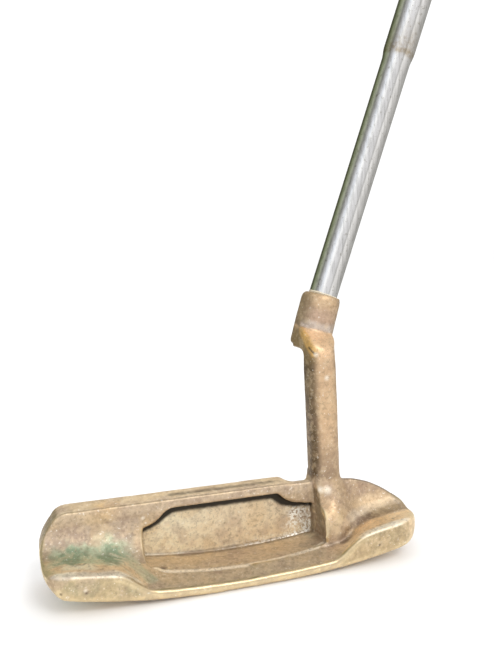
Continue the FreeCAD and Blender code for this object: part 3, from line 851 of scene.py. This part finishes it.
def wear_and_highlight(points):
    """How far an edge is painted bright, as wear and as a painted highlight, from its place in mm:
    less on the neck, at the foot of the pocket's wall and on the crests of the shelves."""
    x, y, z = points.T
    handled = ramp(z, 14.0, 17.0)
    wall_foot = ramp(y, 4.6, 5.6) * ramp(y, 9.4, 8.8) * ramp(z, 12.0, 10.0)
    wall_foot = wall_foot * ramp(abs(x + 1.0), 27.4, 26.2)
    crest_highlight = ramp(y, -10.0, -11.0) * ramp(abs(x), 31.0, 35.0) * ramp(z, 9.0, 10.0)
    return (1.0 - 0.8 * handled) * (1.0 - wall_foot) * (1.0 - 0.7 * crest_highlight)


def dull(points):
    """Where grime keeps the metal from shining: on the topline and the heel's shelf."""
    x, y, z = points.T
    topline = ramp(z, 21.8, 22.6) * ramp(z, 25.0, 24.0) * ramp(y, 4.2, 5.0) * ramp(x, 27.0, 24.0)
    heel_shelf = ramp(x, 42.0, 50.0) * ramp(y, -2.6, -4.4) * ramp(z, 10.4, 11.4)
    return np.maximum(topline, 0.6 * heel_shelf)


def head():
    obj = remeshed("head", "bronze_head", HEAD_VOXEL * MM)
    mesh = obj.data
    edges = edges_of(mesh)
    points = softened(read_vertices(mesh, "co"), edges)
    set_points(mesh, points)
    normals = read_vertices(mesh, "normal")
    millimetres = points / MM
    points = points + normals * (cast_relief(points) * MM)[:, None]
    set_points(mesh, points)
    broad = smooth(points, edges, np.ones(len(points)), BROAD_ROUNDS)
    curvature = np.einsum("ij,ij->i", points - broad, normals) / (EDGE_HEIGHT * MM)
    # The edge mask carries both wear and a painted highlight on the convex edges.
    add_mask(mesh, "edge", curvature * wear_and_highlight(millimetres))
    add_mask(mesh, "hollow", -curvature)
    add_mask(mesh, "sparkle", sparkle(millimetres, normals))
    add_mask(mesh, "rim_shadow", rim_shadow(millimetres))
    add_mask(mesh, "dull", dull(millimetres))
    add_colours(mesh, "patina", patina(millimetres, normals))
    shade_smooth(mesh)
    mesh.materials.append(bronze())
    return obj


def bronze():
    """Cast bronze: the patina's colours broken up by stains and grain, with bright edges that are both
    worn and a painted highlight, painted glints, darker hollows and a painted shadow under the pocket's
    rim.
    """
    g = Graph("bronze")
    grain = g.noise(1100.0, 5.0, 0.7)
    blotch = g.noise(420.0, 4.0, 0.65)
    fleck = g.noise(1400.0, 2.0, 0.5)
    dark_stain, pale_stain = colour(0.31, 0.22, 0.145), colour(0.78, 0.61, 0.40)
    dark_grain, hollow_dark = colour(0.22, 0.16, 0.105), colour(0.17, 0.12, 0.08)
    worn_and_highlit_metal, glint = colour(0.80, 0.64, 0.385), colour(0.98, 0.95, 0.86)
    shadow = colour(0.022, 0.018, 0.012)

    tone = g.attribute("patina", "Color")
    tone = g.mix(g.span(blotch, 0.51, 0.64, 0.0, 0.27), tone, dark_stain)
    tone = g.mix(g.span(blotch, 0.50, 0.38, 0.0, 0.30), tone, pale_stain)
    tone = g.mix(g.span(grain, 0.53, 0.64, 0.0, 0.38), tone, dark_grain)
    # Darker in the hollows.
    tone = g.mix(g.span(g.attribute("hollow"), 0.3, 1.0, 0.0, 0.45), tone, hollow_dark)
    # Bright edges: partly wear, partly a painted highlight.
    rubbed_and_highlit = g.span(g.attribute("edge"), 0.10, 0.55)
    worn_and_highlit = g.calc("MULTIPLY", rubbed_and_highlit, g.span(blotch, 0.36, 0.56, 1.0, 0.55))
    tone = g.mix(worn_and_highlit, tone, worn_and_highlit_metal)
    # Painted glints in the pocket, and painted bright specks all over the head.
    sparkling = g.attribute("sparkle")
    patches = g.calc("MULTIPLY", sparkling, g.span(blotch, 0.42, 0.54, 0.4, 1.0))
    glints = g.calc("MULTIPLY", patches, g.span(fleck, 0.43, 0.50))
    bright = g.calc("MULTIPLY", g.span(grain, 0.42, 0.36, 0.0, 0.55), g.span(fleck, 0.50, 0.58))
    tone = g.mix(g.calc("MAXIMUM", glints, bright), tone, glint)
    # A painted shadow under the pocket's rim, mixed in last.
    g.surface("Base Color", g.mix(g.attribute("rim_shadow"), tone, shadow))

    metal = g.calc("ADD", 0.62, g.calc("MULTIPLY", worn_and_highlit, 0.35))
    grimy = g.calc("MULTIPLY", g.attribute("dull"), 0.85)
    matt = g.calc("MAXIMUM", g.calc("MULTIPLY", glints, 0.7), grimy)
    g.surface("Metallic", g.calc("MULTIPLY", metal, g.span(matt, 0.0, 1.0, 1.0, 0.0)))
    shine = g.calc("MAXIMUM", sparkling, worn_and_highlit)
    g.surface("Roughness", g.span(shine, 0.0, 0.9, 0.50, 0.29))
    relief = g.bump(blotch, 0.35, 0.10 * MM)
    g.surface("Normal", g.bump(grain, 0.55, 0.07 * MM, relief))
    return g.material


# ---- shaft and adhesive ----------------------------------------------------------------------
def shaft_profile():
    """(distance, radius) up the outside of the shaft, with its eased steps."""
    radius = TIP_RADIUS
    profile = [(-BORE_DEPTH, radius)]
    growth = (BUTT_RADIUS - FIRST_STEP_RADIUS) / STEP_COUNT
    for step in range(STEP_COUNT + 1):
        distance = FIRST_STEP + step * STEP_PITCH
        after = FIRST_STEP_RADIUS + growth * step
        if step > 0:
            profile += [(distance - share * STEP_PITCH, radius) for share in ROWS_BELOW]
        for row in STEP_ROWS:
            profile.append((distance + (row - 0.5) * STEP_TAPER, radius + (after - radius) * eased(row)))
        profile += [(distance + share * STEP_PITCH, after) for share in ROWS_ABOVE]
        radius = after
    profile.append((SHAFT_TOP, radius))
    return profile


def shaft():
    outside = shaft_profile()
    inside = [(distance, radius - SHAFT_WALL) for distance, radius in reversed(outside)]
    obj = lathe("chromed_shaft", outside + inside)
    along = along_shaft(read_vertices(obj.data, "co"))
    add_mask(obj.data, "grime", step_grime(along))
    shade_smooth(obj.data, 30.0)
    obj.data.materials.append(chrome())
    return obj


def step_grime(along):
    """Grime just above each step, fading up the shaft, with a line of it just below."""
    after_step = (along - FIRST_STEP) % STEP_PITCH
    grime = 0.6 * ramp(after_step, 12.0 * MM, 2.0 * MM) + 0.4 * ramp(after_step, 2.5 * MM, 0.5 * MM)
    grime = grime + ramp(after_step, STEP_PITCH - 1.2 * MM, STEP_PITCH)
    return grime * (along > FIRST_STEP - 2.0 * MM)


def chrome():
    g = Graph("chrome")
    streaks = g.noise(1300.0, 4.0, 0.6, g.stretched((1.0, 1.0, 0.012)))
    specks = g.noise(900.0, 3.0, 0.6)
    tone = g.mix(g.span(streaks, 0.42, 0.68), colour(0.86, 0.86, 0.855), colour(0.62, 0.62, 0.61))
    tone = g.mix(g.span(specks, 0.60, 0.70, 0.0, 0.55), tone, colour(0.36, 0.34, 0.29))
    grime = g.calc("MULTIPLY", g.attribute("grime"), g.span(specks, 0.35, 0.65, 0.4, 1.0))
    g.surface("Base Color", g.mix(grime, tone, colour(0.50, 0.43, 0.33)))
    g.surface("Metallic", 1.0)
    g.surface("Roughness", g.span(streaks, 0.3, 0.75, 0.09, 0.22))
    relief = g.bump(streaks, 0.10, 0.02 * MM)
    g.surface("Normal", g.bump(specks, 0.12, 0.03 * MM, relief))
    return g.material


def adhesive():
    """The thin cured ring between shaft and bore, with a low uneven fillet at the mouth."""
    bead = [(-BORE_DEPTH, TIP_RADIUS), (-BORE_DEPTH, BORE_RADIUS), (0.0, BORE_RADIUS)]
    for step in range(BEAD_STEPS):
        turn = 0.5 * math.pi * step / (BEAD_STEPS - 1)
        bead.append((BEAD * (1.0 - math.cos(turn)), TIP_RADIUS + BEAD * (1.0 - math.sin(turn)) * 0.8))
    obj = lathe("adhesive_bead", bead)
    points = read_vertices(obj.data, "co")
    swell = mottle(points / MM, 2.2, 3, 8)
    lift = ramp(along_shaft(points), 0.0, BEAD) * swell * BEAD_SWELL * BEAD
    set_points(obj.data, points + lift[:, None] * np.array(SHAFT_AXIS))
    shade_smooth(obj.data, 50.0)
    obj.data.materials.append(cured_epoxy())
    return obj


def cured_epoxy():
    g = Graph("cured_epoxy")
    blush = g.noise(700.0, 3.0, 0.6)
    g.surface("Base Color", g.mix(blush, colour(0.86, 0.80, 0.66), colour(0.54, 0.44, 0.30)))
    g.surface("Roughness", g.span(blush, 0.3, 0.7, 0.22, 0.5))
    g.surface("Normal", g.bump(blush, 0.3, 0.05 * MM))
    return g.material


# ---- grip ------------------------------------------------------------------------------------
def grip_outline(width, depth, flat):
    """Evenly spaced points round the grip: flat towards -X, round towards +X; in mm."""
    half, corner = width / 2.0, GRIP_CORNER
    palm = depth - flat
    waist = palm - half * PALM_ROUND
    quarter = [0.5 * math.pi * step / CORNER_STEPS for step in range(1, CORNER_STEPS + 1)]
    outline = [(-flat, -half + corner), (-flat, half - corner)]
    for turn in quarter:
        outline.append((-flat + corner * (1.0 - math.cos(turn)), half - corner * (1.0 - math.sin(turn))))
    for step in range(PALM_STEPS + 1):
        turn = math.pi * (0.5 - step / PALM_STEPS)
        outline.append((waist + (palm - waist) * math.cos(turn), half * math.sin(turn)))
    for turn in reversed(quarter):
        outline.append((-flat + corner * (1.0 - math.cos(turn)), -half + corner * (1.0 - math.sin(turn))))
    outline = np.array(outline + outline[:1])
    length = np.concatenate([[0.0], np.cumsum(np.linalg.norm(np.diff(outline, axis=0), axis=1))])
    evenly = np.linspace(0.0, length[-1], SKIN_SEGMENTS, endpoint=False)
    return np.stack([np.interp(evenly, length, outline[:, axis]) for axis in (0, 1)], axis=1)


def outward(ring):
    """Unit directions out of a closed ring that runs clockwise seen from +Z."""
    along = np.roll(ring, -1, axis=0) - np.roll(ring, 1, axis=0)
    across = np.stack([-along[:, 1], along[:, 0]], axis=1)
    return across / np.linalg.norm(across, axis=1)[:, None]


def unit_circle(ring):
    """Points on a circle of radius 1, each in the direction of a point of the ring."""
    around = np.arctan2(ring[:, 1], ring[:, 0])
    return np.stack([np.cos(around), np.sin(around)], axis=1)


def level(ring, height):
    """The ring's flat points as places, all at one height up the shaft."""
    return np.column_stack([ring, np.full(len(ring), height)])


def grip_size(below):
    """Width, depth and flat of the grip at a distance below the butt, eased between stations."""
    stations = np.array(GRIP_STATIONS)
    near = below + np.linspace(-GRIP_EASE, GRIP_EASE, 13)
    return [np.interp(near, stations[:, 0], stations[:, column]).mean() for column in (1, 2, 3)]


def tread(below, x, y, width):
    """How deep the moulded pattern is cut at each point of a ring, in mm."""
    ends = ramp(below, *PATTERN_TOP) * ramp(below, *PATTERN_BOTTOM)
    row = below / DIMPLE_PITCH
    shift = 0.5 * (math.floor(row) % 2)
    across = (y / DIMPLE_PITCH + shift) % 1.0 - 0.5
    gap = np.hypot(across, row % 1.0 - 0.5) * DIMPLE_PITCH
    margin_low, margin_high = FLAT_MARGIN
    on_flat = ramp(x, *FLAT_SIDE) * ramp(abs(y), width / 2.0 - margin_low, width / 2.0 - margin_high)
    dimples = ramp(gap, DIMPLE_RADIUS, 0.4 * DIMPLE_RADIUS) * on_flat
    groove = abs((below / RIB_PITCH) % 1.0 - 0.5) * RIB_PITCH
    ribs = ramp(groove, RIB_GROOVE, 0.3 * RIB_GROOVE) * ramp(x, *PALM_SIDE)
    seam = ramp(abs(x), *SEAM_WIDTH) * -SEAM_HEIGHT
    return PATTERN_DEPTH * (ends * np.maximum(dimples, ribs) + seam)


def grip():
    rings = []
    top = SHAFT_TOP / MM
    for row in range(SKIN_ROWS):
        below = GRIP_LENGTH * (1.0 - row / (SKIN_ROWS - 1))
        ring = grip_outline(*grip_size(below))
        lip = ramp(below, GRIP_LENGTH - LIP_LENGTH, GRIP_LENGTH)
        cut = tread(below, ring[:, 0], ring[:, 1], grip_size(below)[0]) + LIP_DEPTH * lip * lip
        rings.append(level(ring - outward(ring) * cut[:, None], top - below))
    bore = unit_circle(rings[0]) * (BUTT_RADIUS / MM + TAPE_THICKNESS)
    for below in (0.0, 0.5 * GRIP_LENGTH, GRIP_LENGTH):
        rings.append(level(bore, top - below))
    obj = ringed("pistol_grip", [ring * MM for ring in rings])
    shade_smooth(obj.data, 50.0)
    obj.data.materials.append(rubber("grip_rubber", 0.020, 0.66))
    return obj


def grip_cap():
    """The cap: a plate with a rounded edge, a shallow dish, a vent hole and a spigot."""
    outline = grip_outline(*grip_size(0.0))
    circle = unit_circle(outline)
    out = outward(outline)
    top, thick = SHAFT_TOP / MM, CAP_THICKNESS / MM
    dish_depth = CAP_DISH[-1][1]
    spigot = (BUTT_RADIUS - SHAFT_WALL) / MM - SPIGOT_GAP
    rings = [(outline, 0.0), (outline, thick - CAP_ROUND)]
    for step in range(1, CORNER_STEPS + 1):
        turn = 0.5 * math.pi * step / CORNER_STEPS
        inward = CAP_ROUND * (1.0 - math.cos(turn))
        rings.append((outline - out * inward, thick - CAP_ROUND * (1.0 - math.sin(turn))))
    for share, drop in CAP_DISH:
        rings.append((outline * share + circle * VENT_RADIUS * (1.0 - share), thick - drop))
    rings.append((circle * (VENT_RADIUS + VENT_CHAMFER), thick - dish_depth))
    rings.append((circle * VENT_RADIUS, thick - dish_depth - VENT_CHAMFER))
    rings += [(circle * VENT_RADIUS, -CAP_SPIGOT), (circle * spigot, -CAP_SPIGOT), (circle * spigot, 0.0)]
    obj = ringed("butt_cap", [level(ring, top + height) * MM for ring, height in rings])
    shade_smooth(obj.data, 35.0)
    obj.data.materials.append(rubber("cap_rubber", 0.028, 0.5))
    return obj


def rubber(name, shade, rough):
    """Black moulded rubber, paler and rougher where it is handled, with dust in its grain."""
    g = Graph(name)
    grain = g.noise(2600.0, 4.0, 0.6)
    handled = g.noise(38.0, 4.0, 0.6)
    dust = g.noise(520.0, 5.0, 0.7)
    fresh = colour(shade, shade, shade * 1.05)
    greyed = colour(shade * 2.1, shade * 2.0, shade * 1.9)
    tone = g.mix(g.span(handled, 0.35, 0.7), fresh, greyed)
    g.surface("Base Color", g.mix(g.span(dust, 0.56, 0.78, 0.0, 0.5), tone, colour(0.13, 0.125, 0.115)))
    g.surface("Roughness", g.span(handled, 0.3, 0.7, rough - 0.1, rough + 0.12))
    relief = g.bump(dust, 0.15, 0.08 * MM)
    g.surface("Normal", g.bump(grain, 0.45, 0.06 * MM, relief))
    return g.material


def tape_cloth():
    """The woven double-sided tape under the grip."""
    g = Graph("tape_cloth")
    warp = g.noise(1.0, 2.0, 0.5, g.stretched((2200.0, 2200.0, 120.0)))
    weft = g.noise(1.0, 2.0, 0.5, g.stretched((160.0, 160.0, 2600.0)))
    weave = g.calc("MULTIPLY", warp, weft)
    threads = g.span(weave, 0.15, 0.4)
    g.surface("Base Color", g.mix(threads, colour(0.72, 0.68, 0.58), colour(0.88, 0.86, 0.79)))
    g.surface("Roughness", 0.85)
    g.surface("Normal", g.bump(weave, 0.6, 0.06 * MM))
    return g.material


# ---- floor and light -------------------------------------------------------------------------
def floor():
    mesh = bpy.data.meshes.new("floor")
    size = FLOOR_HALF
    corners = [(-size, -size, 0), (size, -size, 0), (size, size, 0), (-size, size, 0)]
    mesh.from_pydata(corners, [], [(0, 1, 2, 3)])
    obj = new_object("floor", mesh)
    g = Graph("floor")
    g.surface("Base Color", colour(0.93, 0.93, 0.93))
    g.surface("Roughness", 0.9)
    g.surface("Specular IOR Level", 0.0)
    mesh.materials.append(g.material)


def key_light():
    data = bpy.data.lights.new("key", "AREA")
    data.size = KEY_SIZE
    data.energy = KEY_POWER
    obj = new_object("key", data)
    turn = (KEY_AIM - KEY_PLACE).to_track_quat("-Z", "Y").to_matrix()
    obj.matrix_world = Matrix.Translation(KEY_PLACE) @ turn.to_4x4()


def room():
    """A tube round the shaft's axis that only reflections see, dark on one side. It stays where
    it is in every view."""
    centre = SHAFT_MOUTH + SHAFT_AXIS * ROOM_MIDDLE
    to_camera = CAMERA_PLACE - centre
    front = (to_camera - SHAFT_AXIS * to_camera.dot(SHAFT_AXIS)).normalized()
    side = SHAFT_AXIS.cross(front)
    vertices = []
    for height in (-ROOM_HALF_LENGTH, ROOM_HALF_LENGTH):
        for step in range(LATHE_SEGMENTS):
            angle = 2.0 * math.pi * step / LATHE_SEGMENTS
            vertices.append((ROOM_RADIUS * math.cos(angle), ROOM_RADIUS * math.sin(angle), height))
    mesh = bpy.data.meshes.new("room")
    mesh.from_pydata(vertices, [], tube_faces(2, LATHE_SEGMENTS)[:LATHE_SEGMENTS])
    obj = new_object("room", mesh)
    turn = Matrix((front, side, SHAFT_AXIS)).transposed()
    obj.matrix_world = Matrix.Translation(centre) @ turn.to_4x4()
    mesh.materials.append(room_colours())
    obj.visible_camera = False
    obj.visible_diffuse = False
    obj.visible_shadow = False
    obj.visible_transmission = False


def room_colours():
    """Light of the colours in ROOM, by the direction from the tube's own axis."""
    g = Graph("room")
    split = g.nodes.new("ShaderNodeSeparateXYZ")
    g.put(split.inputs["Vector"], g.place)
    angle = g.calc("ARCTAN2", split.outputs["Y"], split.outputs["X"])
    shades = g.nodes.new("ShaderNodeValToRGB")
    g.put(shades.inputs["Fac"], g.span(angle, -math.pi, math.pi, kind="LINEAR"))
    stops = shades.color_ramp.elements
    for degrees, shade in ROOM[1:]:
        stops.new((degrees + 180.0) / 360.0).color = colour(*shade)
    stops[0].color = stops[len(stops) - 1].color = colour(*ROOM[0][1])
    g.surface("Base Color", colour(0.0, 0.0, 0.0))
    g.surface("Specular IOR Level", 0.0)
    g.surface("Emission Color", shades.outputs["Color"])
    g.surface("Emission Strength", 1.0)
    return g.material


def studio():
    world = bpy.data.worlds.new("studio")
    bpy.context.scene.world = world
    world.use_nodes = True
    background = world.node_tree.nodes["Background"]
    background.inputs["Color"].default_value = colour(1.0, 1.0, 1.0)
    background.inputs["Strength"].default_value = SKY_STRENGTH
    bpy.context.scene.view_settings.view_transform = "Standard"
    key_light()
    room()


camera()
floor()
studio()
head_piece = head()
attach(head_piece, "root")
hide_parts("head")
shaft_piece = shaft()
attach(shaft_piece, "root")
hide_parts("shaft")
bead_piece = adhesive()
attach(bead_piece, "root")
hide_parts("hosel_epoxy")
grip_piece = grip()
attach(grip_piece, "root")
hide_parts("grip")
cap_piece = grip_cap()
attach(cap_piece, "root")
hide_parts("grip_cap")
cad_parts["grip_tape"].data.materials.clear()
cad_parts["grip_tape"].data.materials.append(tape_cloth())
